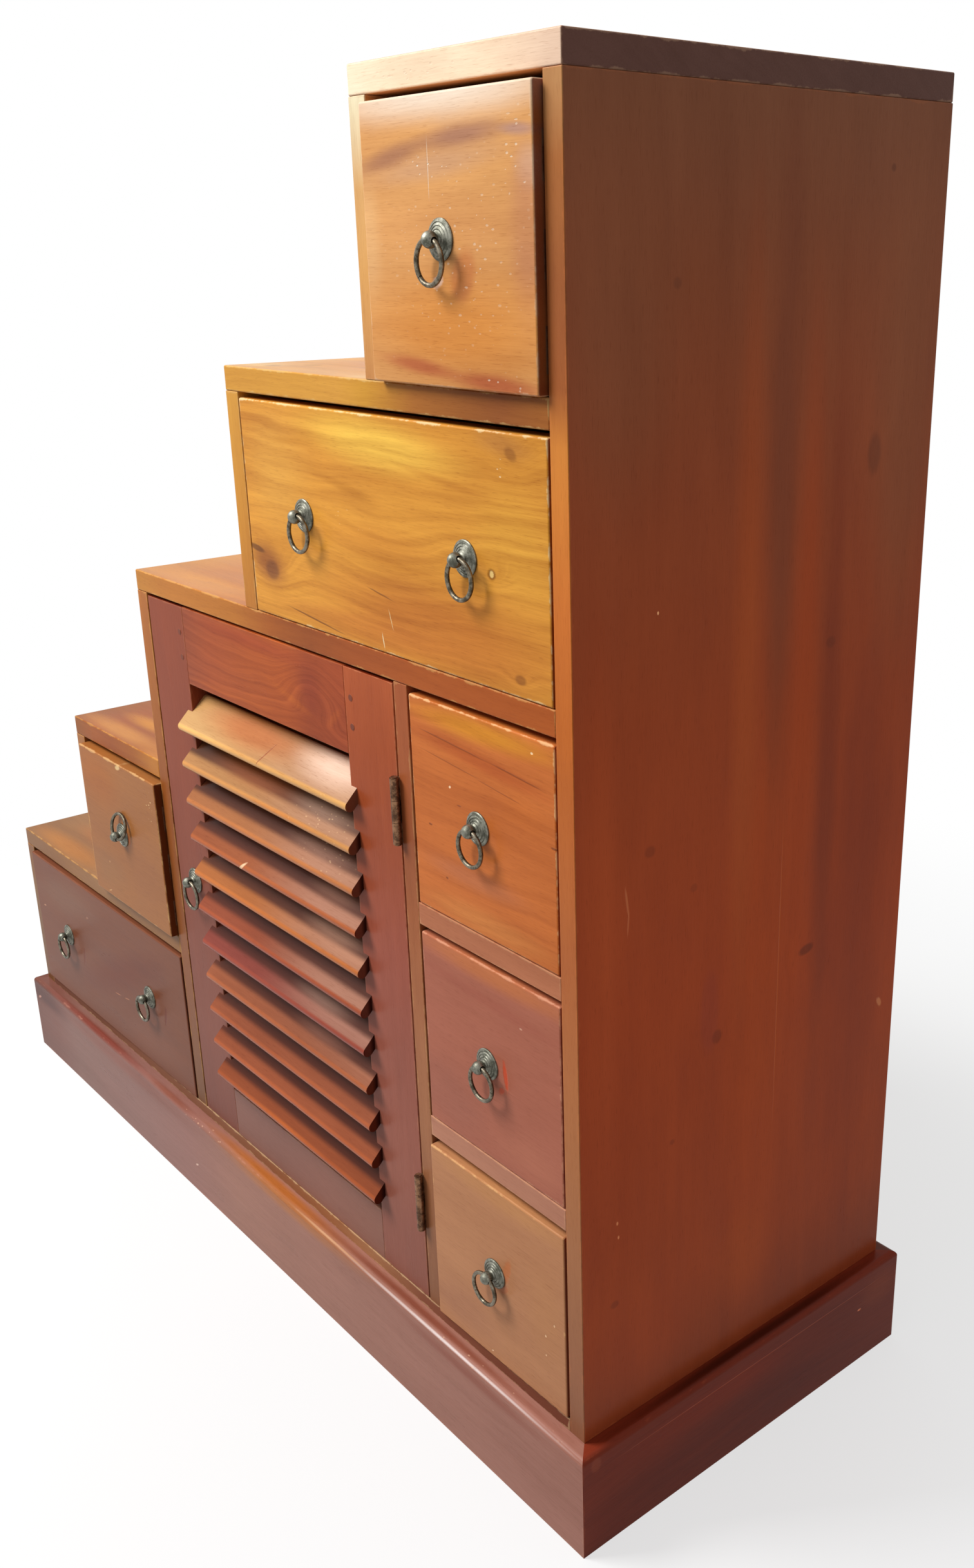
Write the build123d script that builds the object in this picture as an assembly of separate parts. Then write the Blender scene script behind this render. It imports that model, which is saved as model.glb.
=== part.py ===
"""Step chest: a staircase-shaped cabinet with drawers, a louvred door and a plinth.

Millimetres, +Z up, front faces -Y, +X towards the tall end. The model is laid out in the
carcass frame: X = 0 at mid width, Y = 0 at the front face of the boards, Z = 0 at the floor.
Every node is moved along Y when it is saved, so that the stored origin is the centre of
the whole chest's bounding box at the floor.
"""

from build123d import *
from dataclasses import dataclass
from math import asin, cos, degrees, radians, sin, sqrt
import os

# ---- staircase, from the lowest step at the left to the highest at the right ----
TREAD_RUNS = [198.0, 190.0, 200.0, 193.0, 203.0]
STEP_TOPS = [280.0, 459.0, 636.0, 817.0, 1000.0]
CARCASS_DEPTH = 329.0
BOARD = 18.0  # treads and risers
SIDE_BOARD = 16.0  # the tall right side
BOTTOM_BOARD = 11.0
BACK_BOARD = 6.0
BACK_INSET = 3.0  # back boards lie this far inside the rear edges
EASE = 1.2  # rounding of the boards' edges
FINE_EASE = 0.6  # rounding of small and mating boards

# ---- column of small drawers beside the door ----
COLUMN_WIDTH = 160.0
DIVIDER = 16.0
SHELF = 17.0
SHELF_TOPS = [280.0, 457.0]

# ---- plinth ----
PLINTH_HEIGHT = 89.0
PLINTH_OVERHANG = 13.0
PLINTH_BOARD = 25.0
PLINTH_ROUND = 5.0  # rounding of its top outer edge

# ---- drawers ----
FRONT = 18.0  # thickness of a drawer's front
DRAWER_SIDE = 9.0
DRAWER_BACK = 9.0
DRAWER_BOTTOM = 5.0
DRAWER_SIDE_GAP = 1.5
DRAWER_LIFT = 0.5  # running gap under a drawer
DRAWER_END_GAP = 1.0  # behind a drawer that is pushed in flush
SIDE_DROP = 12.0  # sides are this much lower than the front
BACK_DROP = 4.0  # the back is this much lower than the sides
BOTTOM_RISE = 8.0  # underside of the bottom above the sides' lower edges
GROOVE = 4.0
TAIL_COUNT = 3
TAIL_DEPTH = 12.0
TAIL_WIDE = 26.0
TAIL_NARROW = 20.0
FRONT_EASE = 1.5
CLEAR_AHEAD = 60.0  # length of the cutter in front of a drawer's inner parts

# ---- ring pulls ----
ROSETTE_PROFILE = [  # radius and height of the turned dome and its three grooves
    (11.9, 0.0), (11.9, 0.8), (11.4, 1.3), (9.9, 1.7), (9.6, 1.3), (9.2, 1.8),
    (7.9, 2.3), (7.6, 1.9), (7.2, 2.4), (5.9, 2.9), (5.6, 2.5), (5.2, 3.0), (4.2, 3.4),
]
NECK_RADIUS = 3.4
BALL_RADIUS = 5.0
BALL_REACH = 7.9  # from the front's face to the ball's centre
RING_RADIUS = 12.7  # centre line
WIRE_RADIUS = 1.55
WIRE_PLAY = 0.12  # between the wire and the hole through the ball
RING_SLIT_DEG = 1.8
RING_SLIT_TURN = 130.0  # where the ring's butt joint lies
SHANK_RADIUS = 2.0
THROUGH = 120.0  # length of a cutter that passes right through a board
NUT_RADIUS = 5.0
NUT_THICKNESS = 3.0
NUT_SIDES = 6
STOP_GAP = 0.3  # between a ring that is swung right in and the wood

# ---- louvred door ----
DOOR_THICKNESS = 20.0
STILE = 64.0
TOP_RAIL = 67.0
BOTTOM_RAIL = 49.0
DOOR_GAP_LEFT = 2.0
DOOR_GAP_HINGE = 1.5
DOOR_GAP_TOP = 2.0
DOOR_GAP_BOTTOM = 1.0
TENON_LENGTH = 40.0
TENON_THICKNESS = 8.0
TENON_SHOULDER = 8.0
SLAT_COUNT = 11
SLAT_THICKNESS = 9.0
SLAT_NOSE = 11.0  # noses stand this far in front of the stiles
SLAT_BACK = 1.0  # backs stop this far inside the rear of the door
SLAT_SLOPE = 45.0
SLAT_EAR = 8.0  # overlap of a nose on each stile
SLAT_FOOT = 18.5  # lowest nose's centre above the bottom rail
SLAT_HEAD = 37.5  # highest nose's centre below the top rail
PEG_RADIUS = 2.5
PEG_LENGTH = 16.0
PEG_PROUD = 0.3
PEG_INSET = 8.0
PEG_SPACING = 22.0

# ---- butt hinges ----
HINGE_LENGTH = 50.0
HINGE_FROM_END = 93.0  # hinge centre from the end of the door
BARREL_RADIUS = 3.3
BARREL_PROUD = 0.2  # between the barrel and the front faces
LEAF_THICKNESS = 1.5
LEAF_WIDTH = 15.0
LEAF_PLAY = 0.1  # from the hinge plane to each leaf
KNUCKLE_ROOT = 1.0  # how far a knuckle's strap runs onto its plate
KNUCKLE_COUNT = 3
KNUCKLE_GAP = 0.3
PIN_RADIUS = 1.6
PIN_PLAY = 0.05
PIN_HEAD_RADIUS = 2.4
PIN_HEAD = 0.9
SCREW_COUNT = 3
SCREW_RADIUS = 1.3
SCREW_HEAD_RADIUS = 2.7
SCREW_LENGTH = 12.0

# ---- worked out from the sizes above ----
width = sum(TREAD_RUNS)
left_edges = [sum(TREAD_RUNS[:i]) - width / 2 for i in range(len(TREAD_RUNS))]
right_face = width / 2
right_inner = right_face - SIDE_BOARD
floor_top = PLINTH_HEIGHT + BOTTOM_BOARD
back_front = CARCASS_DEPTH - BACK_INSET - BACK_BOARD
divider_right = right_inner - COLUMN_WIDTH
divider_left = divider_right - DIVIDER
tread_undersides = [top - BOARD for top in STEP_TOPS]
riser_inners = [edge + BOARD for edge in left_edges]
drawer_depth = back_front - DRAWER_END_GAP


@dataclass
class Pull:
    """A pull's place from the middle of its front, and how far it is screwed round."""

    across: float
    rise: float
    turn: float


@dataclass
class Drawer:
    """One drawer's opening, how far its front stands out, and its pulls.

    A skewed front stands out by `proud` at its right end and further at its left.
    """

    name: str
    x0: float
    x1: float
    z0: float
    z1: float
    proud: float
    top_gap: float
    pulls: list
    skew: float = 0.0
    ring_up: bool = False


DRAWERS = [
    Drawer("top_drawer", riser_inners[4], right_inner,
           STEP_TOPS[3], tread_undersides[4], 6.0, 4.5, [Pull(-3.5, 2.5, -8.0)]),
    Drawer("upper_wide_drawer", riser_inners[3], right_inner,
           STEP_TOPS[2], tread_undersides[3], 0.5, 4.0,
           [Pull(-96.7, 3.0, 14.0), Pull(96.5, -0.3, 16.0)]),
    Drawer("column_drawer_upper", divider_right, right_inner,
           SHELF_TOPS[1], tread_undersides[2], 0.0, 5.0, [Pull(-3.4, 0.5, 1.0)]),
    Drawer("column_drawer_middle", divider_right, right_inner,
           SHELF_TOPS[0], SHELF_TOPS[1] - SHELF, 0.0, 5.0, [Pull(-3.4, 0.3, 9.0)]),
    Drawer("column_drawer_lower", divider_right, right_inner,
           floor_top, SHELF_TOPS[0] - SHELF, 1.0, 6.5, [Pull(-2.2, 2.8, -17.0)], skew=0.7),
    Drawer("small_step_drawer", riser_inners[1], left_edges[2],
           STEP_TOPS[0], tread_undersides[1], 7.0, 5.0, [Pull(-1.2, 3.3, -20.0)],
           ring_up=True),
    Drawer("lower_wide_drawer", riser_inners[0], left_edges[2],
           floor_top, tread_undersides[0], 1.2, 4.0,
           [Pull(-102.0, 1.8, -2.0), Pull(100.0, 2.7, -17.0)], skew=0.4),
]
DOOR_PULL = Pull(0.2, -2.6, 18.0)  # from the middle of the door's free stile

pull_reach = BALL_REACH + BALL_RADIUS
front_reach = max(drawer.proud for drawer in DRAWERS) + pull_reach
y_shift = (front_reach - CARCASS_DEPTH - PLINTH_OVERHANG) / 2

# The wire bends away from the hinge line inside the ball, equally to both sides of it
wire_sag = RING_RADIUS - sqrt(RING_RADIUS**2 - BALL_RADIUS**2)
eye_radius = WIRE_RADIUS + wire_sag / 2 + WIRE_PLAY
ring_drop = RING_RADIUS - wire_sag / 2
ring_swing_in = degrees(
    asin((BALL_REACH - WIRE_RADIUS - STOP_GAP) / (ring_drop + RING_RADIUS)))
ring_swing_over = 180 + ring_swing_in

door_left = riser_inners[2] + DOOR_GAP_LEFT
door_right = divider_left - DOOR_GAP_HINGE
door_bottom = floor_top + DOOR_GAP_BOTTOM
door_top = tread_undersides[2] - DOOR_GAP_TOP
stile_inner_left = door_left + STILE
stile_inner_right = door_right - STILE
hinge_x = divider_left - DOOR_GAP_HINGE / 2
hinge_y = -(BARREL_RADIUS + BARREL_PROUD)
hinge_centres = [door_bottom + HINGE_FROM_END, door_top - HINGE_FROM_END]


def block(x0, x1, y0, y1, z0, z1):
    """A box between two opposite corners."""
    middle = Pos((x0 + x1) / 2, (y0 + y1) / 2, (z0 + z1) / 2)
    return middle * Box(x1 - x0, y1 - y0, z1 - z0)


def board(x0, x1, y0, y1, z0, z1, ease=EASE):
    """A box with its edges eased."""
    plain = block(x0, x1, y0, y1, z0, z1)
    return fillet(plain.edges(), ease)


def save(name, *solids):
    """Writes one node's STEP file, moved into the stored frame."""
    moved = [Pos(0, y_shift, 0) * solid for solid in solids]
    shape = moved[0] if len(moved) == 1 else Compound(moved)
    export_step(shape, f"parts/{name}.step")


# ---------------------------------------------------------------- carcass


def tread_span(index):
    """Left and right ends of a tread: the two lowest stop at the middle riser."""
    right_ends = [left_edges[2], left_edges[2], right_inner, right_inner, right_face]
    return left_edges[index], right_ends[index]


def tread(index):
    """A step board, which is also the roof of the drawer or door under it."""
    x0, x1 = tread_span(index)
    return board(x0, x1, 0, CARCASS_DEPTH, tread_undersides[index], STEP_TOPS[index])


def riser_foot(index):
    """What each left-hand panel stands on."""
    feet = [PLINTH_HEIGHT, STEP_TOPS[0], floor_top, STEP_TOPS[2], STEP_TOPS[3]]
    return feet[index]


def riser(index):
    """The upright panel at the left of a step."""
    return board(left_edges[index], riser_inners[index], 0, CARCASS_DEPTH,
                 riser_foot(index), tread_undersides[index], FINE_EASE)


def right_side_panel():
    """The tall panel at the right, under the highest tread."""
    return board(right_inner, right_face, 0, CARCASS_DEPTH,
                 PLINTH_HEIGHT, tread_undersides[4], FINE_EASE)


def bottom_board():
    """The floor of the carcass, between the end panels."""
    return board(riser_inners[0], right_inner, 0, CARCASS_DEPTH,
                 PLINTH_HEIGHT, floor_top, FINE_EASE)


def divider():
    """The upright between the door and the column of drawers, cut for the hinges."""
    panel = board(divider_left, divider_right, 0, CARCASS_DEPTH,
                  floor_top, tread_undersides[2], FINE_EASE)
    for centre in hinge_centres:
        panel -= leaf_plate(centre, 1)
        for z in screw_heights(centre):
            panel -= screw(z, 1)
    return panel


def column_shelf(top):
    """A shelf that carries one of the column's drawers."""
    return board(divider_right, right_inner, 0, back_front,
                 top - SHELF, top, FINE_EASE)


def back_boards():
    """Thin boards that close each bay from behind."""
    bays = [
        (riser_inners[0], left_edges[2], floor_top, tread_undersides[0]),
        (riser_inners[1], left_edges[2], STEP_TOPS[0], tread_undersides[1]),
        (riser_inners[2], divider_left, floor_top, tread_undersides[2]),
        (divider_right, right_inner, floor_top, tread_undersides[2]),
        (riser_inners[3], right_inner, STEP_TOPS[2], tread_undersides[3]),
        (riser_inners[4], right_inner, STEP_TOPS[3], tread_undersides[4]),
    ]
    rear = back_front + BACK_BOARD
    return [block(x0, x1, back_front, rear, z0, z1) for x0, x1, z0, z1 in bays]


# ---------------------------------------------------------------- plinth


def plinth_board(length):
    """A mitred board along X, its outer face at Y = 0 and its top outer edge rounded."""
    half = length / 2
    outline = Polyline(
        (-half, 0),
        (half, 0),
        (half - PLINTH_BOARD, PLINTH_BOARD),
        (PLINTH_BOARD - half, PLINTH_BOARD),
        close=True,
    )
    solid = extrude(make_face(outline), PLINTH_HEIGHT)
    top_edges = solid.edges().group_by(Axis.Z)[-1]
    return fillet(top_edges.sort_by(Axis.Y)[0], PLINTH_ROUND)


def plinth():
    """The four boards of the base frame, by name."""
    long_side = width + 2 * PLINTH_OVERHANG
    short_side = CARCASS_DEPTH + 2 * PLINTH_OVERHANG
    middle = CARCASS_DEPTH / 2
    turned = {
        "plinth_front": (0, -PLINTH_OVERHANG, 0, long_side),
        "plinth_right": (long_side / 2, middle, 90, short_side),
        "plinth_back": (0, CARCASS_DEPTH + PLINTH_OVERHANG, 180, long_side),
        "plinth_left": (-long_side / 2, middle, 270, short_side),
    }
    return {
        name: Pos(x, y, 0) * Rot(0, 0, turn) * plinth_board(length)
        for name, (x, y, turn, length) in turned.items()
    }


# ---------------------------------------------------------------- ring pulls


def pull_body():
    """Rosette, neck, ball with its cross hole, and threaded shank: one turned casting.

    It is turned about Z with the wood's face at Z = 0, and stood up by the caller.
    """
    neck_top = BALL_REACH - sqrt(BALL_RADIUS**2 - NECK_RADIUS**2)
    profile = [(0, 0), *ROSETTE_PROFILE, (NECK_RADIUS, neck_top), (0, neck_top)]
    points = [(r, 0, z) for r, z in profile]
    turned = revolve(make_face(Polyline(*points, close=True)), Axis.Z)
    ball = Pos(0, 0, BALL_REACH) * Sphere(BALL_RADIUS)
    eye = Pos(0, 0, BALL_REACH) * Rot(0, 90, 0) * Cylinder(eye_radius, THROUGH)
    shank_length = FRONT + 2 * NUT_THICKNESS
    shank = Pos(0, 0, -shank_length / 2) * Cylinder(SHANK_RADIUS, shank_length)
    return turned + ball + shank - eye


def pull_nut(thickness):
    """Hexagonal nut against the inner face of the wood."""
    blank = extrude(RegularPolygon(NUT_RADIUS, NUT_SIDES), NUT_THICKNESS)
    blank -= Cylinder(SHANK_RADIUS, THROUGH)
    return Pos(0, 0, -thickness - NUT_THICKNESS) * blank


def pull(x, y, z, turn, thickness):
    """One pull on a face at the given place: its body and its nut."""
    stand = Pos(x, y, z) * Rot(90, 0, 0)
    return [stand * Rot(0, 0, turn) * pull_body(), stand * pull_nut(thickness)]


def pull_hole(x, z):
    """Hole through a front for a pull's shank."""
    return Pos(x, 0, z) * Rot(90, 0, 0) * Cylinder(SHANK_RADIUS, THROUGH)


def ring(x, y, z, turn, swing):
    """A wire ring hung in a pull's ball, whose hole slopes by turn, swung out by swing."""
    wire = Pos(RING_RADIUS, 0, 0) * Circle(WIRE_RADIUS)
    bent = revolve(wire, Axis.Y, 360 - RING_SLIT_DEG)
    hung = Pos(0, 0, -ring_drop) * Rot(0, RING_SLIT_TURN, 0) * bent
    return Pos(x, y - BALL_REACH, z) * Rot(0, -turn, 0) * Rot(-swing, 0, 0) * hung


# ---------------------------------------------------------------- drawers


def front_box(drawer):
    """Left, right, face, bottom and top of a drawer's front."""
    return (
        drawer.x0 + DRAWER_SIDE_GAP,
        drawer.x1 - DRAWER_SIDE_GAP,
        -drawer.proud,
        drawer.z0 + DRAWER_LIFT,
        drawer.z1 - drawer.top_gap,
    )


def skewed(drawer):
    """The turn of a front about its right end."""
    _, x1, face, _, _ = front_box(drawer)
    return Pos(x1, face, 0) * Rot(0, 0, drawer.skew) * Pos(-x1, -face, 0)


def pull_places(drawer):
    """X and Z of each pull on a drawer's front, before the front is skewed."""
    x0, x1, _, z0, z1 = front_box(drawer)
    return [((x0 + x1) / 2 + item.across, (z0 + z1) / 2 + item.rise)
            for item in drawer.pulls]


def tails(drawer):
    """Dovetails that lock both sides into the back of the front."""
    x0, x1, face, z0, z1 = front_box(drawer)
    joint = face + FRONT
    side_top = z1 - SIDE_DROP
    step = (side_top - z0) / TAIL_COUNT
    solids = []
    for left in (x0, x1 - DRAWER_SIDE):
        for index in range(TAIL_COUNT):
            z = z0 + (index + 0.5) * step
            outline = Polyline(
                (left, joint, z - TAIL_NARROW / 2),
                (left, joint, z + TAIL_NARROW / 2),
                (left, joint - TAIL_DEPTH, z + TAIL_WIDE / 2),
                (left, joint - TAIL_DEPTH, z - TAIL_WIDE / 2),
                close=True,
            )
            tail = extrude(make_face(outline), DRAWER_SIDE, dir=(1, 0, 0))
            solids.append(tail)
    return solids


def drawer_front(drawer):
    """The visible front, cut for the dovetails, the bottom's groove and the pulls."""
    x0, x1, face, z0, z1 = front_box(drawer)
    joint = face + FRONT
    solid = board(x0, x1, face, joint, z0, z1, FRONT_EASE)
    for tail in tails(drawer):
        solid -= tail
    low = z0 + BOTTOM_RISE
    solid -= block(x0 + DRAWER_SIDE, x1 - DRAWER_SIDE, joint - GROOVE, joint + GROOVE,
                   low, low + DRAWER_BOTTOM)
    for x, z in pull_places(drawer):
        solid -= pull_hole(x, z)
    return skewed(drawer) * solid


def drawer_box(drawer):
    """Sides, back and bottom of a drawer, fitted to the inner face of its front."""
    x0, x1, face, z0, z1 = front_box(drawer)
    joint = face + FRONT
    end = face + drawer_depth
    side_top = z1 - SIDE_DROP
    low = z0 + BOTTOM_RISE
    in0, in1 = x0 + DRAWER_SIDE, x1 - DRAWER_SIDE
    turn = skewed(drawer)
    ahead = turn * block(x0 - FRONT, x1 + FRONT, joint - CLEAR_AHEAD, joint,
                         z0 - FRONT, z1 + FRONT)
    panel = block(in0 - GROOVE, in1 + GROOVE, joint - FRONT, end, low, low + DRAWER_BOTTOM)
    panel -= ahead
    tail_list = tails(drawer)
    sides = []
    for side, (left, right) in enumerate(((x0, in0), (in1, x1))):
        solid = block(left, right, joint - FRONT, end, z0, side_top) - ahead - panel
        for tail in tail_list[side * TAIL_COUNT:(side + 1) * TAIL_COUNT]:
            solid += turn * tail
        sides.append(solid)
    tongue = block(in0, in1, joint - GROOVE, joint, low, low + DRAWER_BOTTOM)
    back = block(in0, in1, end - DRAWER_BACK, end, low + DRAWER_BOTTOM, side_top - BACK_DROP)
    return [*sides, back, panel + turn * tongue]


def drawer_pulls(drawer):
    """All of a drawer's pull bodies and nuts."""
    face = front_box(drawer)[2]
    solids = []
    for item, (x, z) in zip(drawer.pulls, pull_places(drawer)):
        solids += pull(x, face, z, item.turn, FRONT)
    return [skewed(drawer) * solid for solid in solids]


def drawer_rings(drawer):
    """A drawer's rings by name, hanging down or thrown up against the front."""
    face = front_box(drawer)[2]
    swing = ring_swing_over if drawer.ring_up else 0.0
    suffixes = [""] if len(drawer.pulls) == 1 else ["_left", "_right"]
    rings = {}
    for suffix, item, (x, z) in zip(suffixes, drawer.pulls, pull_places(drawer)):
        hung = ring(x, face, z, item.turn, swing)
        rings[f"{drawer.name}_ring{suffix}"] = skewed(drawer) * hung
    return rings


# ---------------------------------------------------------------- hinges


def leaf_plate(centre, side):
    """A leaf's plate without its knuckles: side is 1 on the divider and -1 on the door."""
    near, far = LEAF_PLAY * side, (LEAF_PLAY + LEAF_THICKNESS) * side
    x0, x1 = sorted((hinge_x + near, hinge_x + far))
    start = hinge_y + BARREL_RADIUS + BARREL_PROUD
    return block(x0, x1, start, LEAF_WIDTH, centre - HINGE_LENGTH / 2,
                 centre + HINGE_LENGTH / 2)


def screw_heights(centre):
    """Z of each screw of one leaf."""
    pitch = HINGE_LENGTH / SCREW_COUNT
    return [centre + (i - (SCREW_COUNT - 1) / 2) * pitch for i in range(SCREW_COUNT)]


def screw(z, side):
    """A countersunk wood screw through a leaf."""
    head = LEAF_THICKNESS
    cone = Pos(0, 0, head / 2) * Cone(SCREW_HEAD_RADIUS, SCREW_RADIUS, head)
    shank = Pos(0, 0, SCREW_LENGTH / 2) * Cylinder(SCREW_RADIUS, SCREW_LENGTH)
    middle = LEAF_WIDTH / 2 + PIN_RADIUS
    return Pos(hinge_x + side * LEAF_PLAY, middle, z) * Rot(0, 90 * side, 0) * (cone + shank)


def knuckle_spans(centre):
    """Lower and upper ends of each knuckle."""
    share = HINGE_LENGTH / KNUCKLE_COUNT
    low = centre - HINGE_LENGTH / 2
    spans = []
    for index in range(KNUCKLE_COUNT):
        bottom = low + index * share + (KNUCKLE_GAP / 2 if index else 0)
        last = index == KNUCKLE_COUNT - 1
        top = low + (index + 1) * share - (0 if last else KNUCKLE_GAP / 2)
        spans.append((bottom, top))
    return spans


def leaf(centre, side, bore_radius):
    """One hinge leaf: a plate, its share of the knuckles, and its screw holes."""
    solid = leaf_plate(centre, side)
    first = 0 if side == 1 else 1
    near, far = LEAF_PLAY * side, (LEAF_PLAY + LEAF_THICKNESS) * side
    x0, x1 = sorted((hinge_x + near, hinge_x + far))
    for z0, z1 in knuckle_spans(centre)[first::2]:
        solid += block(x0, x1, hinge_y, KNUCKLE_ROOT, z0, z1)
        barrel = Cylinder(BARREL_RADIUS, z1 - z0)
        solid += Pos(hinge_x, hinge_y, (z0 + z1) / 2) * barrel
    solid -= Pos(hinge_x, hinge_y, centre) * Cylinder(bore_radius, THROUGH)
    for z in screw_heights(centre):
        solid -= screw(z, side)
    return solid


def hinge_pin(centre):
    """The pin of one hinge, with a small head at each end."""
    solid = Cylinder(PIN_RADIUS, HINGE_LENGTH + 2 * PIN_HEAD)
    for end in (-1, 1):
        lift = end * (HINGE_LENGTH + PIN_HEAD) / 2
        solid += Pos(0, 0, lift) * Cylinder(PIN_HEAD_RADIUS, PIN_HEAD)
    return Pos(hinge_x, hinge_y, centre) * solid


def frame_leaves():
    """The divider's leaves with the pins held in them, and their screws."""
    solids = []
    for centre in hinge_centres:
        solids += [leaf(centre, 1, PIN_RADIUS), hinge_pin(centre)]
        solids += [screw(z, 1) for z in screw_heights(centre)]
    return solids


def door_leaves():
    """The door's leaves, which turn on the pins, and their screws."""
    solids = []
    for centre in hinge_centres:
        solids.append(leaf(centre, -1, PIN_RADIUS + PIN_PLAY))
        solids += [screw(z, -1) for z in screw_heights(centre)]
    return solids


# ---------------------------------------------------------------- door


def rail_span(top):
    """Lower and upper edges of the top or bottom rail."""
    if top:
        return door_top - TOP_RAIL, door_top
    return door_bottom, door_bottom + BOTTOM_RAIL


def tenon(top, left):
    """One end's tenon of a rail, which is also the mortise it fills."""
    z0, z1 = rail_span(top)
    y0 = (DOOR_THICKNESS - TENON_THICKNESS) / 2
    x0, x1 = (stile_inner_left - TENON_LENGTH, stile_inner_left)
    if not left:
        x0, x1 = (stile_inner_right, stile_inner_right + TENON_LENGTH)
    return block(x0, x1, y0, y0 + TENON_THICKNESS, z0 + TENON_SHOULDER, z1 - TENON_SHOULDER)


def pegs():
    """Wooden pegs through the top rail's tenons."""
    middle = sum(rail_span(True)) / 2
    depth = PEG_LENGTH / 2 - PEG_PROUD
    solids = []
    for x in (stile_inner_left - PEG_INSET, stile_inner_right + PEG_INSET):
        for lift in (-PEG_SPACING / 2, PEG_SPACING / 2):
            place = Pos(x, depth, middle + lift) * Rot(90, 0, 0)
            solids.append(place * Cylinder(PEG_RADIUS, PEG_LENGTH))
    return solids


def door_pull_place():
    """X and Z of the door's pull, on the free stile."""
    x = door_left + STILE / 2 + DOOR_PULL.across
    return x, (door_bottom + door_top) / 2 + DOOR_PULL.rise


def door_stile(left):
    """An upright of the door, with its mortises, peg holes and hinge seats."""
    x0, x1 = (door_left, stile_inner_left) if left else (stile_inner_right, door_right)
    solid = board(x0, x1, 0, DOOR_THICKNESS, door_bottom, door_top, FINE_EASE)
    for top in (False, True):
        solid -= tenon(top, left)
    for peg in pegs():
        solid -= peg
    if left:
        return solid - pull_hole(*door_pull_place())
    for centre in hinge_centres:
        solid -= leaf_plate(centre, -1)
        for z in screw_heights(centre):
            solid -= screw(z, -1)
    return solid


def door_rail(top):
    """The top or bottom rail with its tenons."""
    z0, z1 = rail_span(top)
    solid = board(stile_inner_left, stile_inner_right, 0, DOOR_THICKNESS, z0, z1, FINE_EASE)
    solid = solid + tenon(top, True) + tenon(top, False)
    if top:
        for peg in pegs():
            solid -= peg
    return solid


def slats():
    """Sloping round-nosed slats, each with an ear that laps over both stiles."""
    radius = SLAT_THICKNESS / 2
    nose_y = radius - SLAT_NOSE
    back_y = DOOR_THICKNESS - SLAT_BACK - radius
    slope = radians(SLAT_SLOPE)
    length = (back_y - nose_y) / cos(slope)
    lowest = door_bottom + BOTTOM_RAIL + SLAT_FOOT
    highest = door_top - TOP_RAIL - SLAT_HEAD
    pitch = (highest - lowest) / (SLAT_COUNT - 1)
    rise = length * sin(slope)
    section = SlotCenterToCenter(length, SLAT_THICKNESS)
    x0, x1 = stile_inner_left - SLAT_EAR, stile_inner_right + SLAT_EAR
    solids = []
    for index in range(SLAT_COUNT):
        z = lowest + index * pitch + rise / 2
        plane = Plane(origin=(x0, (nose_y + back_y) / 2, z),
                      x_dir=(0, cos(slope), sin(slope)), z_dir=(1, 0, 0))
        slat = extrude(plane * section, x1 - x0)
        for a, b in ((x0 - STILE, stile_inner_left), (stile_inner_right, x1 + STILE)):
            slat -= block(a, b, 0, THROUGH, z - STILE, z + STILE)
        solids.append(slat)
    return solids


def door_pull():
    """The door's pull body and nut."""
    x, z = door_pull_place()
    return pull(x, 0, z, DOOR_PULL.turn, DOOR_THICKNESS)


# ---------------------------------------------------------------- write all nodes


def save_carcass():
    """Boards of the staircase, its base and the fixed hinge leaves."""
    for index in range(len(TREAD_RUNS)):
        save(f"tread_{index + 1}", tread(index))
        save(f"riser_{index + 1}", riser(index))
    save("right_side_panel", right_side_panel())
    save("bottom_board", bottom_board())
    save("divider", divider())
    save("column_shelf_lower", column_shelf(SHELF_TOPS[0]))
    save("column_shelf_upper", column_shelf(SHELF_TOPS[1]))
    save("back_boards", *back_boards())
    for name, solid in plinth().items():
        save(name, solid)
    save("hinge_frame_leaves", *frame_leaves())


def save_drawers():
    """Front, box, pulls and rings of every drawer."""
    for drawer in DRAWERS:
        save(f"{drawer.name}_front", drawer_front(drawer))
        save(f"{drawer.name}_box", *drawer_box(drawer))
        save(f"{drawer.name}_pulls", *drawer_pulls(drawer))
        for name, solid in drawer_rings(drawer).items():
            save(name, solid)


def save_door():
    """The louvred door and its furniture."""
    save("door_stile_left", door_stile(True))
    save("door_stile_right", door_stile(False))
    save("door_rail_top", door_rail(True))
    save("door_rail_bottom", door_rail(False))
    save("door_slats", *slats())
    save("door_pegs", *pegs())
    save("hinge_door_leaves", *door_leaves())
    save("door_pull", *door_pull())
    x, z = door_pull_place()
    save("door_ring", ring(x, 0, z, DOOR_PULL.turn, 0.0))


os.makedirs("parts", exist_ok=True)
save_carcass()
save_drawers()
save_door()
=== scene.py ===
"""Looks of the step chest: varnished woods, pewter pulls, bronzed hinges, light and camera."""

import math

import bpy
from mathutils import Matrix, Vector


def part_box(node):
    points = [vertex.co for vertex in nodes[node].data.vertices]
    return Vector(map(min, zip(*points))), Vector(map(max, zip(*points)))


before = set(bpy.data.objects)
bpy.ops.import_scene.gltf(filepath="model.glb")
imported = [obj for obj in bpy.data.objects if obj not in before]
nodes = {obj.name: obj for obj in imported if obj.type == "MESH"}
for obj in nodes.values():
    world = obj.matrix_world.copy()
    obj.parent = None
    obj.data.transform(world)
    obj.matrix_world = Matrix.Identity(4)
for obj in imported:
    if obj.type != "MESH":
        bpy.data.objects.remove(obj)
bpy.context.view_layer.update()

MM = 1000.0  # in a metre


def box_mm(name):
    """The lowest and the highest corner of a piece at rest, in mm."""
    low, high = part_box(name)
    return low * MM, high * MM


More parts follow.
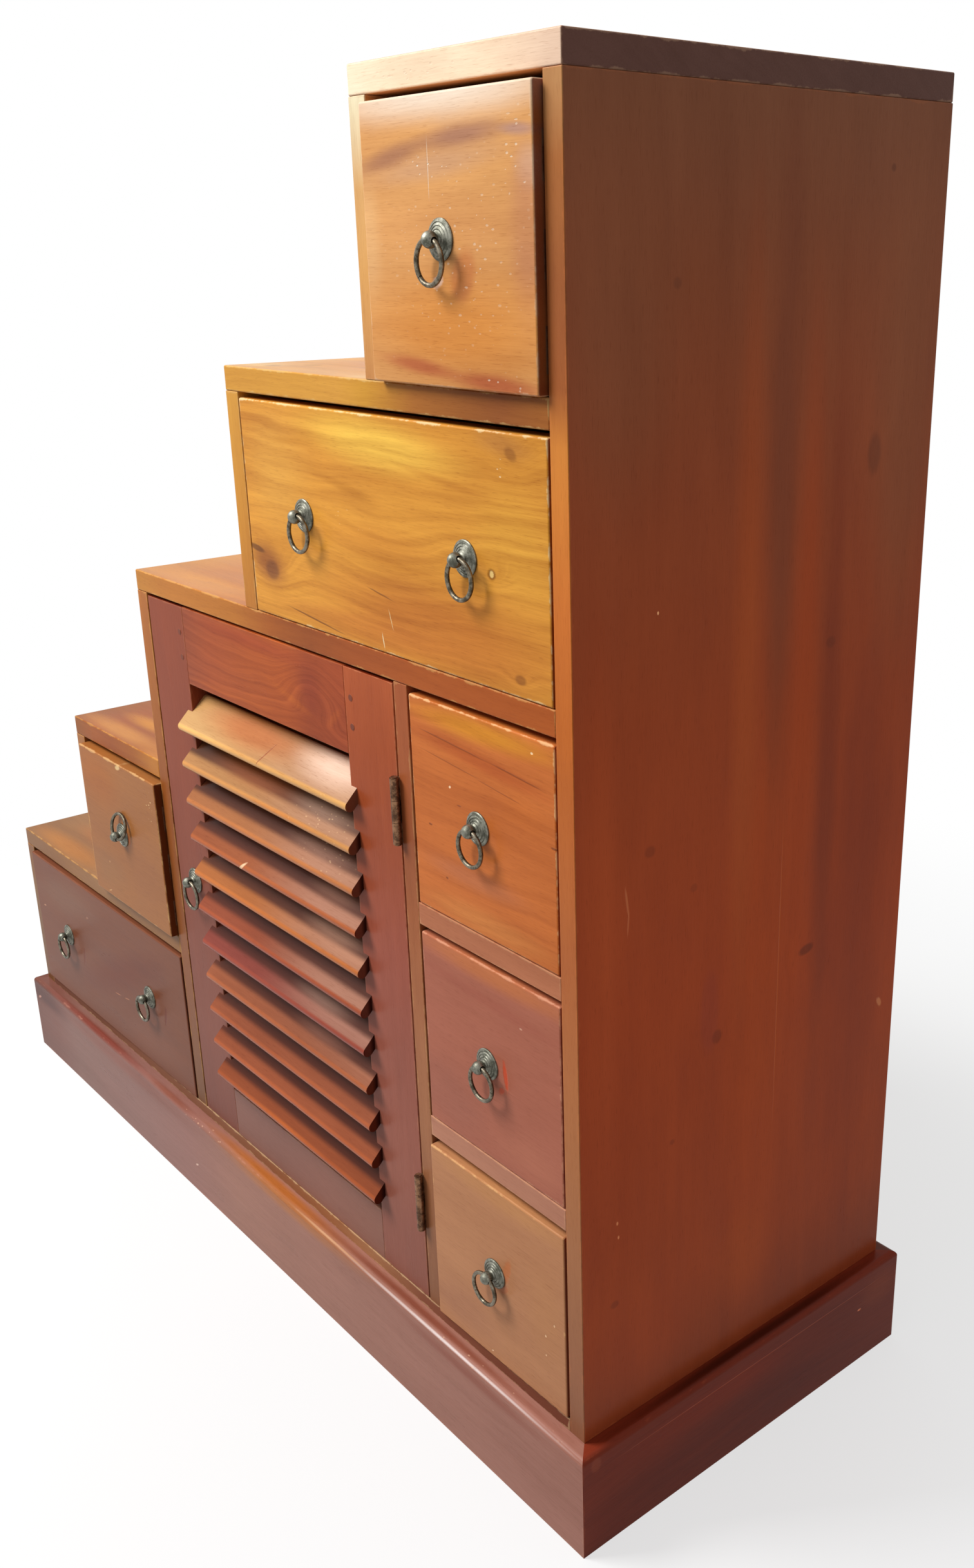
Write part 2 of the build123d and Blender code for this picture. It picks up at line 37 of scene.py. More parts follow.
# In mm: the right side panel's face, the boards' front faces, and the plinth.
RIGHT_FACE = box_mm("right_side_panel")[1].x
FRONT_FACE = box_mm("right_side_panel")[0].y
CHEST_TOP = box_mm("tread_5")[1].z
PLINTH_TOP = box_mm("plinth_front")[1].z
PLINTH_AHEAD = FRONT_FACE - box_mm("plinth_front")[0].y  # how far it stands out


# ---------------------------------------------------------------- shader maths


def rgb(colour, lift=1.0):
    """An sRGB colour, 0 to 255, as linear RGBA, made brighter by lift."""
    linear = []
    for value in colour:
        v = value / 255
        v = v / 12.92 if v <= 0.04045 else ((v + 0.055) / 1.055) ** 2.4
        linear.append(v * lift)
    return (*linear, 1.0)


class Value:
    """A shader socket with arithmetic."""

    def __init__(self, graph, socket):
        self.graph, self.socket = graph, socket

    def __add__(self, other):
        return self.graph.math("ADD", self, other)

    def __radd__(self, other):
        return self.graph.math("ADD", other, self)

    def __sub__(self, other):
        return self.graph.math("SUBTRACT", self, other)

    def __rsub__(self, other):
        return self.graph.math("SUBTRACT", other, self)

    def __mul__(self, other):
        return self.graph.math("MULTIPLY", self, other)


class Graph:
    """A material's node tree, built by expressions.

    u runs along X from the right face, d backwards from the boards' front faces and
    v up from the floor, all in mm.
    """

    def __init__(self, name):
        self.material = bpy.data.materials.new(name)
        self.material.use_nodes = True
        self.tree = self.material.node_tree
        self.tree.nodes.clear()
        coordinates = self.new("ShaderNodeTexCoord").outputs
        self.x, self.y, self.z = self.split(Value(self, coordinates["Object"]))
        self.facing = self.split(Value(self, coordinates["Normal"]))
        self.u = self.x * MM - RIGHT_FACE
        self.d = self.y * MM - FRONT_FACE
        self.v = self.z * MM

    def new(self, kind, **settings):
        node = self.tree.nodes.new(kind)
        for name, value in settings.items():
            setattr(node, name, value)
        return node

    def put(self, socket, value):
        if isinstance(value, Value):
            self.tree.links.new(value.socket, socket)
        else:
            socket.default_value = value

    def split(self, vector):
        node = self.new("ShaderNodeSeparateXYZ")
        self.put(node.inputs[0], vector)
        return [Value(self, socket) for socket in node.outputs]

    def math(self, operation, *values):
        node = self.new("ShaderNodeMath", operation=operation)
        for socket, value in zip(node.inputs, values):
            self.put(socket, value)
        return Value(self, node.outputs[0])

    def vector(self, x, y, z):
        node = self.new("ShaderNodeCombineXYZ")
        for socket, value in zip(node.inputs, (x, y, z)):
            self.put(socket, value)
        return Value(self, node.outputs[0])

    def times(self, first, second):
        """Two vectors or colours multiplied part by part."""
        node = self.new("ShaderNodeVectorMath", operation="MULTIPLY")
        for socket, value in zip(node.inputs, (first, second)):
            self.put(socket, value if isinstance(value, Value) else value[:3])
        return Value(self, node.outputs[0])

    def noise(self, point, detail, rough=0.5):
        node = self.new("ShaderNodeTexNoise")
        for name, value in (("Vector", point), ("Scale", 1.0), ("Detail", detail),
                            ("Roughness", rough)):
            self.put(node.inputs[name], value)
        return Value(self, node.outputs[0])

    def cells(self, point):
        """Distance to the nearest of many scattered dots."""
        node = self.new("ShaderNodeTexVoronoi")
        self.put(node.inputs["Vector"], point)
        self.put(node.inputs["Scale"], 1.0)
        return Value(self, node.outputs["Distance"])

    def smooth(self, value, low, high, start=0.0, end=1.0):
        """Smoothly from start at low to end at high."""
        node = self.new("ShaderNodeMapRange", interpolation_type="SMOOTHSTEP")
        for socket, item in zip(node.inputs, (value, low, high, start, end)):
            self.put(socket, item)
        return Value(self, node.outputs[0])

    def ramp(self, value, low, high, stops):
        """Colours along a coordinate: each stop is a place on it and an sRGB colour."""
        node = self.new("ShaderNodeValToRGB")
        self.put(node.inputs[0], self.math("DIVIDE", value - low, high - low))
        elements = node.color_ramp.elements
        while len(elements) < len(stops):
            elements.new(0.5)
        for element, (place, colour) in zip(elements, stops):
            element.position = (place - low) / (high - low)
            element.color = rgb(colour)
        return Value(self, node.outputs[0])

    def mix(self, factor, first, second):
        """The first colour where factor is 0, and the second where it is 1."""
        node = self.new("ShaderNodeMix", data_type="RGBA")
        colours = [socket for socket in node.inputs if socket.type == "RGBA"]
        for socket, value in zip((node.inputs["Factor"], *colours), (factor, first, second)):
            self.put(socket, value)
        return Value(self, next(out for out in node.outputs if out.type == "RGBA"))

    def bump(self, height, distance):
        """A surface that stands up by distance, in metres, where height is 1."""
        node = self.new("ShaderNodeBump")
        for name, value in (("Strength", 0.5), ("Distance", distance), ("Height", height)):
            self.put(node.inputs[name], value)
        return Value(self, node.outputs[0])

    def spot(self, p, q, place, wobble=0.0, hard=0.2):
        """How much of an ellipse (centre, half length, half width, angle) lies at p, q.

        It is whole inside the share of its size that hard says, and fades to its edge.
        """
        cp, cq, length, width, angle = place
        c, s = math.cos(math.radians(angle)), math.sin(math.radians(angle))
        dp, dq = p - cp, q - cq
        x = dp * (c / length) + dq * (s / length)
        y = dq * (c / width) - dp * (s / width)
        away = self.math("SQRT", x * x + y * y)
        if wobble:
            away = away + wobble
        return self.smooth(away, hard, 1.0, 1.0, 0.0)

    def finish(self, **sockets):
        """The material, with a Principled shader that has these sockets."""
        shader = self.new("ShaderNodeBsdfPrincipled")
        for name, value in sockets.items():
            self.put(shader.inputs[name.replace("_", " ")], value)
        out = self.new("ShaderNodeOutputMaterial")
        self.tree.links.new(shader.outputs[0], out.inputs[0])
        return self.material


def edge_distance(g, low, high):
    """Distance in mm to the nearest edge of a box, for a point on one of its faces."""
    gaps = [g.math("MINIMUM", v - a, b - v)
            for v, a, b in zip((g.x, g.y, g.z), low, high)]
    least = g.math("MINIMUM", g.math("MINIMUM", gaps[0], gaps[1]), gaps[2])
    most = g.math("MAXIMUM", g.math("MAXIMUM", gaps[0], gaps[1]), gaps[2])
    return (gaps[0] + gaps[1] + gaps[2] - least - most) * MM


# Where marks lie: each gives the two coordinates, in mm, of the face that carries them.


def front(g):
    return g.u, g.v


def side(g):
    return g.d, g.v


def plinth_side(g):
    """Outer face of the right plinth board and its top, unrolled."""
    return g.d, PLINTH_AHEAD - g.u + g.v - PLINTH_TOP


def shelf(name, ahead=0.0):
    """Front edge and upper face of a board, unrolled: negative is down the edge."""
    top = box_mm(name)[1].z
    return lambda g: (g.u, g.d + ahead + g.v - top)


# ---------------------------------------------------------------- kinds of material

# Waves per mm of each noise, along the grain and across it.
DRIFT = (0.004, 0.013)  # the slow wander of the growth lines
FIBRE = (0.03, 0.8)
PORE = (0.10, 2.2)
PATCH = (0.011, 0.045)
CHIP = (0.16, 0.30)
CHIP_SIZE = (0.2, 0.33)
LINE = 0.0016  # along the grain; across it the lines are a pitch apart
RUB = 0.05  # on worn edges, the same every way

PLAIN = (1.0, 1.0, 1.0)
TONE = (1.7, 2.3, 2.7)  # how strongly the figure darkens red, green and blue
END_GRAIN = (0.34, 0.17, 0.15)  # the stain sinks into it
CHIPPED = (246, 216, 182)  # pale wood under the varnish
SMALL = 16  # mm: a mark with a shorter half length has a firm edge


def wood(name, grain, colour, face=front, seed=0.0, marks=(), scars_and_painted_shadows=(), flecks=(),
         swirls=(), gain=1.0, trim=PLAIN, cloud=0.3, line=0.15, fibre=0.10, pitch=8.0,
         sway=46.0, wear=0.35, worn=(232, 190, 150), ends=0.9, rough=0.3, gloss=0.07):
    """Varnished wood: figure, fibres, pores, stained patches, painted highlights, reflections
    and shade, scar marks, chips, worn edges.

    marks, and the scar marks, are (centre, centre, half length, half width, angle, colour,
    amount) in the coordinates of face; the scar marks are cut in. Some marks paint highlights,
    reflections and shade instead of stains, and some scar marks paint the pulls' reddish
    shadows.
    flecks are the same without a colour, and say where chips lie. swirls are (centre, centre,
    size, push) and bend the growth lines round a knot. gain and trim, for red, green and blue,
    bring the colours out right in this light. cloud, line and fibre say how strongly each
    darkens the wood; pitch is from one growth line to the next and sway how far they wander, in
    mm. wear bares the edges in the colour worn, and ends darkens the end grain.
    """
    g = Graph(name)
    a, b, c = {"X": (g.u, g.v, g.d), "Y": (g.d, g.v, g.u), "Z": (g.v, g.u, g.d)}[grain]
    p, q = face(g)

    slow = g.noise(g.vector(a * DRIFT[0] + seed, b * DRIFT[1], c * DRIFT[1] + seed), 3.0) - 0.5
    lane = b + c * 0.6 + slow * sway
    for sp, sq, size, push in swirls:
        lane = lane + g.spot(p, q, (sp, sq, size * 1.8, size, 0), hard=0.0) * push
    lines = g.noise(g.vector(lane * (1 / pitch), a * LINE + seed, seed), 4.0, 0.62) - 0.5
    fibres = g.noise(g.vector(a * FIBRE[0], b * FIBRE[1], c * FIBRE[1]), 3.0, 0.6) - 0.5
    pores = g.noise(g.vector(a * PORE[0] + seed, b * PORE[1], c * PORE[1]), 1.0)
    patch = g.noise(g.vector(a * PATCH[0] + seed, b * PATCH[1], c * PATCH[1]), 4.0, 0.6) - 0.5

    shade = colour(g) if callable(colour) else rgb(colour)
    # Marks: stains, and also painted highlights, reflections and shade, each in its own colour.
    for *place, mark_colour, amount in marks:
        firm = 0.5 if place[2] < SMALL else 0.15
        shade = g.mix(g.spot(p, q, place, patch * 0.3, firm) * amount, shade, rgb(mark_colour))
    tone = slow * cloud + lines * line + fibres * fibre + patch * 0.14
    tone = tone - g.smooth(pores, 0.6, 0.74) * 0.10
    shade = g.times(shade, g.vector(*[tone * part + 1.0 for part in TONE]))
    height = fibres * 0.5 + lines * 0.3 + patch * 0.4

    chipped = None
    for *place, amount in flecks:
        there = g.spot(p, q, place) * amount
        chipped = there if chipped is None else g.math("MAXIMUM", chipped, there)
    if chipped is not None:
        dots = g.cells(g.vector(a * CHIP[0] + seed, b * CHIP[1], c * CHIP[1]))
        size = g.noise(g.vector(a * CHIP_SIZE[0], b * CHIP_SIZE[1], c * 0.3), 1.0)
        nick = g.smooth(dots + fibres * 0.3 - size * 0.6, -0.22, -0.14, 1.0, 0.0) * chipped
        shade = g.mix(nick, shade, rgb(CHIPPED))
        height = height - nick * 1.5
    # Scar marks are cut in; some of them paint the pulls' reddish shadows.
    for *place, mark_colour, amount in scars_and_painted_shadows:
        mask = g.spot(p, q, place, fibres * 0.5, 0.5) * amount
        shade = g.mix(mask, shade, rgb(mark_colour))
        height = height - mask * 1.2

    rub = g.noise(g.vector(g.u * RUB + seed, g.d * RUB, g.v * RUB), 4.0, 0.7)
    edge = edge_distance(g, *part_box(name))
    bare = g.smooth(edge + (rub - 0.5) * 9.0, 0.2, 1.3, wear, 0.0)
    shade = g.mix(bare, shade, rgb(worn))
    across = g.smooth(g.math("ABSOLUTE", g.facing["XYZ".index(grain)]), 0.7, 0.9)
    shade = g.mix(across * ends, shade, g.times(shade, END_GRAIN))
    shade = g.times(shade, [gain * part for part in trim])
    return g.finish(Base_Color=shade, Roughness=rough + patch * 0.16 + bare * 0.2,
                    Specular_IOR_Level=gloss, Normal=g.bump(height, 0.0003))


GRIME = 0.22  # waves per mm
PITTING = 1.3


def metal(name, bright, dark, rough):
    """Cast metal: dark in its pits, bright where it is rubbed."""
    g = Graph(name)
    grime = g.noise(g.vector(g.u * GRIME, g.d * GRIME, g.v * GRIME), 4.0, 0.65)
    fine = g.noise(g.vector(g.u * PITTING, g.d * PITTING, g.v * PITTING), 3.0)
    shade = g.mix(g.smooth(grime + fine * 0.3, 0.5, 0.8), rgb(bright), rgb(dark))
    return g.finish(Base_Color=shade, Metallic=1.0, Roughness=rough + grime * 0.2,
                    Normal=g.bump(fine + grime, 0.00006))


# ---------------------------------------------------------------- which wood goes where

SIDE_GAIN = 2.3  # the right side gets little of the window's light
SLAT_RISE = 34.35  # mm from one slat of the door to the next
FIRST_SLAT = 175.0


def upright(stops, low=90, high=CHEST_TOP):
    """Colours up a post."""
    return lambda g: g.ramp(g.v, low, high, stops)


def level(stops, low=-1005, high=PLINTH_AHEAD):
    """Colours along a board, from the left."""
    return lambda g: g.ramp(g.u, low, high, stops)


def side_panel(g):
    """The right side, and its front edge, which is lit like the fronts. Up the side the colour
    runs from dark at the foot through a brighter red in the middle to a greyer brown at the
    top: partly the wood's own, partly a painted falloff of the light.
    """
    # Painted falloff of the light, along with the wood's own colour.
    face = g.ramp(g.v, PLINTH_TOP + 1, CHEST_TOP, [
        (90, (100, 46, 30)), (180, (120, 53, 31)), (420, (126, 54, 31)),
        (620, (121, 55, 34)), (760, (115, 58, 40)), (880, (107, 60, 44)),
        (985, (98, 62, 50)),
    ])
    edge = g.ramp(g.v, PLINTH_TOP + 1, CHEST_TOP, [
        (100, (141, 94, 80)), (250, (165, 112, 88)), (350, (175, 114, 82)),
        (480, (176, 103, 66)), (620, (187, 104, 52)), (700, (197, 114, 60)),
        (790, (200, 128, 66)), (822, (150, 86, 50)), (880, (145, 86, 54)),
        (940, (160, 102, 66)), (975, (180, 134, 102)),
    ])
    shadow = rgb((247, 253, 253), 0.93 / SIDE_GAIN)
    return g.mix(g.smooth(g.d, 0.1, 0.9, 1.0, 0.0), face, g.times(edge, shadow))


def slat_colours(g):
    """One colour for each slat of the door, from the lowest up.

    The upper faces are darker, a painted shade, with a painted reflection of the window to the
    right on the upper slats; the backs, under the next slat up, are darker still, a painted
    shadow that the top slat lacks.
    """
    rows = [(167, 88, 50), (172, 94, 59), (170, 94, 62), (179, 107, 69), (151, 74, 63),
            (152, 70, 51), (199, 124, 65), (174, 96, 57), (189, 119, 72), (207, 152, 95),
            (230, 185, 122)]
    stops = [(FIRST_SLAT + SLAT_RISE * i, c) for i, c in enumerate(rows)]
    row = g.ramp(g.v - g.d, FIRST_SLAT - 15, 540, stops)
    # Painted shade: the face behind each nose is darker.
    above = g.smooth(g.d, -10.8, -9.0)
    row = g.mix(above, row, g.times(row, (0.66, 0.7, 0.86)))
    # Painted reflection of the window, to the right on the upper slats.
    painted_reflection = g.smooth(g.u, -430, -290, 0.0, 0.6) * g.smooth(g.v, 250, 330) * above
    row = g.mix(painted_reflection, row, rgb((182, 146, 138)))
    # Painted shadow under the next slat up, left off the top slat.
    lower = g.smooth(g.v - g.d, 500, 515, 1.0, 0.0)
    return g.mix(g.smooth(g.d, -5.5, -1.2, 0.0, 0.9) * lower, row, rgb((72, 34, 26)))


def top_board(g):
    """The highest step, with a painted highlight, near white, on its front edge, and its right
    end dark.
    """
    # Painted highlight: the front edge is near white, palest at the left.
    edge = g.ramp(g.u, -210, 0, [
        (-205, (254, 238, 200)), (-60, (248, 222, 184)), (-8, (236, 206, 174)),
    ])
    face = g.mix(g.smooth(g.d, 0.2, 0.8), edge, rgb((214, 152, 92)))
    return g.mix(g.smooth(g.u, -1.0, -0.2), face, rgb((86, 59, 49), SIDE_GAIN))


def top_riser(g):
    """The riser under it, whose front edge carries a painted highlight too, palest at the top.
    """
    # Painted highlight: the front edge grows paler towards the top.
    edge = g.ramp(g.v, 810, 990, [
        (817, (216, 150, 92)), (880, (227, 166, 98)), (930, (228, 174, 114)),
        (980, (248, 232, 198)),
    ])
    return g.mix(g.smooth(g.d, 0.2, 0.8), edge, rgb((214, 148, 88)))


def box_wood(g):
    """Bare wood, darker where the tails come near the drawer's front: a painted shade of the
    gaps beside the fronts.
    """
    return g.mix(g.smooth(g.d, 3.0, 9.0), rgb((96, 54, 36)), rgb((202, 158, 112)))


# Lower down the chest the colours turn darker and greyer, towards mauve: partly the woods' own,
# partly a painted falloff of the window's light and a painted reflection of the pale room in
# the varnish.
WOODS = {
    "top_drawer_front": dict(
        grain="X", trim=(0.95, 1.1, 1.25), colour=(221, 148, 84), pitch=9.0, line=0.12,
        marks=[
            # Partly a painted highlight: the near-white band along the top.
            (-100, 984, 180, 30, 0, (252, 216, 184), 1.0),
            (-180, 900, 20, 50, 0, (232, 170, 110), 0.6),
            (-110, 940, 90, 12, 5, (206, 146, 104), 0.7),
            (-150, 946, 56, 9, 10, (160, 100, 74), 0.75),
            (-82, 954, 60, 9, 3, (160, 104, 84), 0.75),
            (-30, 954, 24, 5, -4, (172, 124, 110), 0.7),
            (-20, 935, 18, 16, -20, (222, 172, 138), 0.6),
            (-24, 900, 22, 70, 0, (196, 122, 84), 0.7),
            (-90, 905, 120, 28, 0, (212, 136, 76), 0.6),
            (-90, 852, 140, 44, 0, (224, 136, 58), 0.85),
            (-132, 829, 54, 7, -5, (190, 92, 54), 0.8),
            (-56, 822, 62, 8, -3, (182, 82, 48), 0.8),
            # A painted reddish shadow of the ring pull, below and to its right.
            (-84, 880, 14, 20, -25, (200, 110, 60), 0.6),
        ],
        flecks=[
            (-110, 940, 46, 9, 6, 0.9), (-32, 940, 22, 40, 0, 0.5), (-120, 832, 50, 8, -5, 0.5),
            (-52, 824, 40, 8, -5, 0.5), (-90, 895, 95, 80, 0, 0.35),
        ],
        scars_and_painted_shadows=[
            (-114, 938, 0.5, 20, 0, (242, 206, 172), 0.6),
            (-109, 877, 7, 4, 20, (244, 196, 168), 0.7),
        ],
    ),
    "upper_wide_drawer_front": dict(
        grain="X", trim=(1.0, 1.0, 0.8), colour=(215, 146, 64), pitch=8.0, cloud=0.4, line=0.46,
        fibre=0.16, worn=(252, 232, 200), wear=0.5,
        marks=[
            (-130, 664, 200, 46, 0, (192, 114, 52), 0.9),
            (-200, 712, 110, 16, 0, (202, 130, 56), 0.7),
            (-330, 750, 62, 60, 0, (221, 160, 80), 0.7),
            (-200, 777, 125, 24, -4, (242, 192, 90), 0.85),
            (-50, 730, 62, 44, 0, (228, 164, 72), 0.8),
            (-200, 648, 190, 16, 0, (186, 108, 50), 0.6),
            (-60, 788, 40, 12, -6, (190, 128, 74), 0.6),
            (-352, 676, 34, 22, -12, (152, 88, 52), 0.8),
            (-347, 672, 12, 9, 0, (112, 66, 48), 0.6),
            (-368, 686, 14, 3, -8, (96, 54, 34), 0.7),
            (-240, 745, 60, 5, -10, (186, 118, 44), 0.5),
            (-120, 760, 70, 4, -7, (190, 120, 50), 0.5),
            (-300, 770, 50, 4, 2, (196, 130, 52), 0.5),
            (-180, 700, 80, 5, -3, (196, 124, 48), 0.4),
            (-48, 648, 7, 4, 0, (122, 66, 34), 0.6), (-52, 783, 8, 5, -20, (130, 74, 40), 0.5),
        ],
        scars_and_painted_shadows=[
            (-288, 644, 44, 0.9, -6, (104, 56, 24), 0.7),
            (-200, 677, 20, 0.8, -9, (110, 60, 28), 0.6),
            (-74, 709, 5.2, 4.4, 0, (130, 78, 34), 0.8),
            (-74, 709.5, 2.6, 2.8, 0, (236, 200, 140), 0.9),
            (-200, 645, 0.7, 7, 12, (246, 226, 198), 0.8),
            (-189, 661, 0.5, 9, 18, (240, 214, 176), 0.7),
        ],
        flecks=[(-63, 774, 7, 14, 0, 0.7), (-250, 722, 60, 12, 0, 0.3)],
        swirls=[
            (-350, 674, 40, 26), (-74, 709, 16, 10), (-50, 780, 20, 12), (-48, 648, 14, 8),
            (-190, 690, 60, 16),
        ],
    ),
    "column_drawer_upper_front": dict(
        grain="X", trim=(1.15, 1.1, 0.95), colour=(190, 107, 55), worn=(244, 206, 160),
        wear=0.5, sway=60.0, line=0.3,
        marks=[
            (-95, 604, 110, 12, 0, (207, 136, 46), 0.95),
            (-95, 583, 110, 9, -5, (176, 88, 44), 0.8),
            (-105, 497, 80, 12, 0, (178, 108, 78), 0.6),
            (-95, 468, 100, 14, 0, (198, 124, 68), 0.85),
            (-50, 560, 40, 16, 0, (196, 110, 52), 0.5),
        ],
        scars_and_painted_shadows=[
            (-125, 588, 46, 0.8, -4, (122, 60, 26), 0.6),
            (-55, 583, 34, 0.8, -5, (120, 58, 26), 0.6),
            (-130, 574, 40, 0.6, -5, (124, 60, 30), 0.5),
            (-75, 568, 30, 0.6, -6, (126, 60, 30), 0.5),
            (-155, 523, 3, 1, 0, (110, 56, 34), 0.7), (-138, 488, 2, 1, 0, (110, 56, 34), 0.7),
            (-20, 545, 4, 1, 0, (110, 56, 34), 0.7), (-120, 546, 3, 0.8, 0, (120, 60, 36), 0.6),
            (-130, 557, 1.6, 1.2, 30, (248, 220, 190), 0.8),
            (-40, 603, 1.6, 1, 0, (250, 226, 190), 0.8),
        ],
    ),
    "column_drawer_middle_front": dict(
        grain="X", trim=(1.1, 1.1, 1.0), colour=(167, 98, 80), cloud=0.14, line=0.06,
        worn=(228, 168, 140), wear=0.45,
        marks=[
            (-95, 430, 140, 13, 0, (188, 110, 70), 0.95),
            (-95, 408, 120, 7, -2, (160, 88, 72), 0.6),
            (-150, 310, 60, 40, 0, (160, 98, 84), 0.6),
            (-50, 300, 60, 24, 0, (172, 104, 84), 0.6),
        ],
        scars_and_painted_shadows=[
            # Painted reddish shadows of the ring pull, to its right and below, which the code
            # also cuts in.
            (-79, 357, 3, 14, 8, (196, 72, 40), 0.85), (-84, 343, 5, 3, 40, (190, 72, 46), 0.6),
            (-60, 402, 2, 1, 0, (220, 170, 150), 0.6),
        ],
    ),
    "column_drawer_lower_front": dict(
        grain="X", trim=(1.15, 1.15, 1.1), colour=(178, 122, 86), cloud=0.14, line=0.06,
        worn=(236, 190, 132), wear=0.4,
        marks=[
            (-90, 252, 110, 16, 0, (192, 134, 86), 0.7),
            (-140, 125, 60, 30, 0, (166, 112, 84), 0.6),
            (-40, 180, 30, 60, 0, (182, 126, 84), 0.5),
        ],
        scars_and_painted_shadows=[
            # Painted reddish shadows of the ring pull, to its right, which the code also cuts
            # in.
            (-84, 190, 5, 16, -18, (190, 104, 58), 0.5),
            (-88, 172, 8, 4, 40, (176, 88, 52), 0.5),
            (-40, 160, 1.2, 1.2, 0, (240, 200, 160), 0.8),
            (-40, 143, 1, 1, 0, (240, 200, 160), 0.7),
            (-30, 175, 1, 1.4, 0, (240, 200, 160), 0.7),
            (-105, 106, 1.6, 0.8, 20, (240, 205, 170), 0.8),
        ],
    ),
    "small_step_drawer_front": dict(
        grain="X", trim=(0.85, 0.75, 0.5), colour=(172, 116, 76), cloud=0.14, line=0.07,
        worn=(242, 208, 172), wear=0.5,
        marks=[
            (-730, 410, 70, 46, 0, (178, 110, 58), 0.85),
            (-730, 310, 60, 34, 0, (162, 116, 86), 0.7),
            (-640, 330, 50, 60, 0, (172, 116, 82), 0.6),
        ],
        scars_and_painted_shadows=[
            (-672, 362, 5, 12, 30, (170, 86, 56), 0.5),
            (-734, 286, 5, 0.8, 20, (230, 186, 150), 0.8),
            (-726, 320, 1.6, 1.2, 0, (226, 180, 144), 0.7),
            (-676, 433, 7, 3, 15, (250, 224, 190), 0.8),
        ],
        flecks=[(-612, 410, 12, 24, 0, 0.9)],
    ),
    "lower_wide_drawer_front": dict(
        grain="X", trim=(0.8, 0.6, 0.45), colour=(134, 90, 72), cloud=0.12, line=0.06,
        wear=0.25, worn=(170, 120, 92),
        marks=[
            (-880, 226, 120, 30, 8, (142, 108, 94), 0.9),
            (-900, 140, 80, 40, 0, (126, 88, 76), 0.6),
            (-750, 182, 170, 30, 24, (126, 74, 58), 0.85),
            (-680, 128, 100, 30, 6, (142, 100, 86), 0.8),
            (-620, 190, 30, 70, 0, (138, 92, 70), 0.6),
            (-840, 262, 110, 4.5, 0, (206, 144, 88), 0.9),
        ],
        scars_and_painted_shadows=[
            (-765, 153, 9, 0.8, 6, (206, 156, 130), 0.8),
            (-742, 156, 7, 0.8, 10, (206, 156, 130), 0.8),
            (-946, 197, 4, 1.2, 10, (220, 180, 160), 0.8),
            (-824, 222, 4, 1.6, 20, (178, 142, 124), 0.7),
            (-846, 168, 3, 15, -14, (120, 58, 44), 0.5),
            (-648, 172, 3, 15, -14, (116, 54, 40), 0.6),
        ],
    ),
    "tread_5": dict(
        grain="X", trim=(0.95, 0.9, 0.95), colour=top_board, face=shelf("tread_5"), cloud=0.12,
        ends=0.0,
        flecks=[(-130, -9, 80, 10, 0, 0.5)],
    ),
    "tread_4": dict(
        grain="X", trim=(0.75, 0.65, 0.4), face=shelf("tread_4"), ends=0.45, line=0.3,
        worn=(250, 226, 186), wear=0.45,
        colour=level([
            (-390, (228, 172, 88)), (-240, (236, 180, 98)), (-205, (226, 172, 82)),
            (-150, (194, 130, 75)), (-60, (168, 105, 70)), (-20, (180, 116, 70)),
        ]),
        marks=[
            (-300, 90, 120, 80, 0, (210, 140, 78), 0.8),
            (-380, 24, 34, 22, 0, (244, 206, 150), 0.9),
            (-345, 46, 12, 9, 0, (196, 142, 60), 0.7), (-362, 22, 9, 7, 0, (180, 130, 50), 0.6),
            (-222, 12, 24, 14, 0, (240, 202, 146), 0.8),
            (-280, 200, 140, 90, 0, (210, 134, 72), 0.9),
        ],
        flecks=[(-180, 0, 70, 3, 0, 0.8)],
    ),
    "tread_3": dict(
        grain="X", trim=(0.9, 0.8, 0.45), face=shelf("tread_3"), ends=0.45, line=0.2, wear=0.4,
        colour=level([
            (-598, (199, 141, 78)), (-540, (196, 131, 75)), (-420, (197, 130, 70)),
            (-360, (176, 103, 57)), (-300, (159, 89, 57)), (-240, (172, 94, 59)),
            (-20, (180, 96, 56)),
        ]),
        marks=[
            (-500, 20, 120, 22, 0, (210, 148, 84), 0.9),
            (-440, 60, 60, 16, 0, (196, 126, 64), 0.7),
            (-505, 78, 40, 14, 0, (170, 106, 66), 0.7),
            (-500, 200, 130, 120, 0, (204, 134, 68), 0.8),
            (-560, 130, 40, 20, 0, (168, 100, 68), 0.6),
        ],
    ),
    "tread_2": dict(
        grain="X", trim=(0.8, 0.65, 0.3), face=shelf("tread_2"), ends=0.45, wear=0.4,
        colour=level([
            (-790, (157, 101, 62)), (-740, (170, 100, 61)), (-700, (162, 94, 62)),
            (-650, (171, 106, 60)), (-610, (196, 135, 80)),
        ]),
        marks=[
            (-700, 14, 110, 18, 0, (208, 150, 98), 0.9),
            (-700, 44, 70, 16, 0, (220, 158, 74), 0.8),
            (-740, 84, 40, 22, 0, (150, 90, 62), 0.5),
            (-690, 190, 120, 110, 0, (208, 142, 76), 0.9),
        ],
    ),
    "tread_1": dict(
        grain="X", trim=(0.85, 0.75, 0.45), face=shelf("tread_1"), ends=0.45, wear=0.4,
        colour=level([
            (-984, (148, 108, 84)), (-880, (156, 112, 84)), (-780, (165, 124, 98)),
            (-720, (152, 112, 86)), (-620, (157, 112, 82)),
        ]),
        marks=[
            (-890, 14, 120, 20, 0, (192, 133, 80), 0.95),
            (-880, 50, 90, 18, 0, (170, 112, 76), 0.8),
            (-900, 190, 120, 120, 0, (190, 124, 72), 0.9),
        ],
    ),
    "riser_5": dict(grain="Z", trim=(0.85, 0.85, 0.8), colour=top_riser),
    "riser_4": dict(
        grain="Z", trim=(0.9, 0.9, 0.6),
        colour=upright([
            (636, (192, 122, 64)), (700, (208, 140, 66)), (790, (213, 151, 76)),
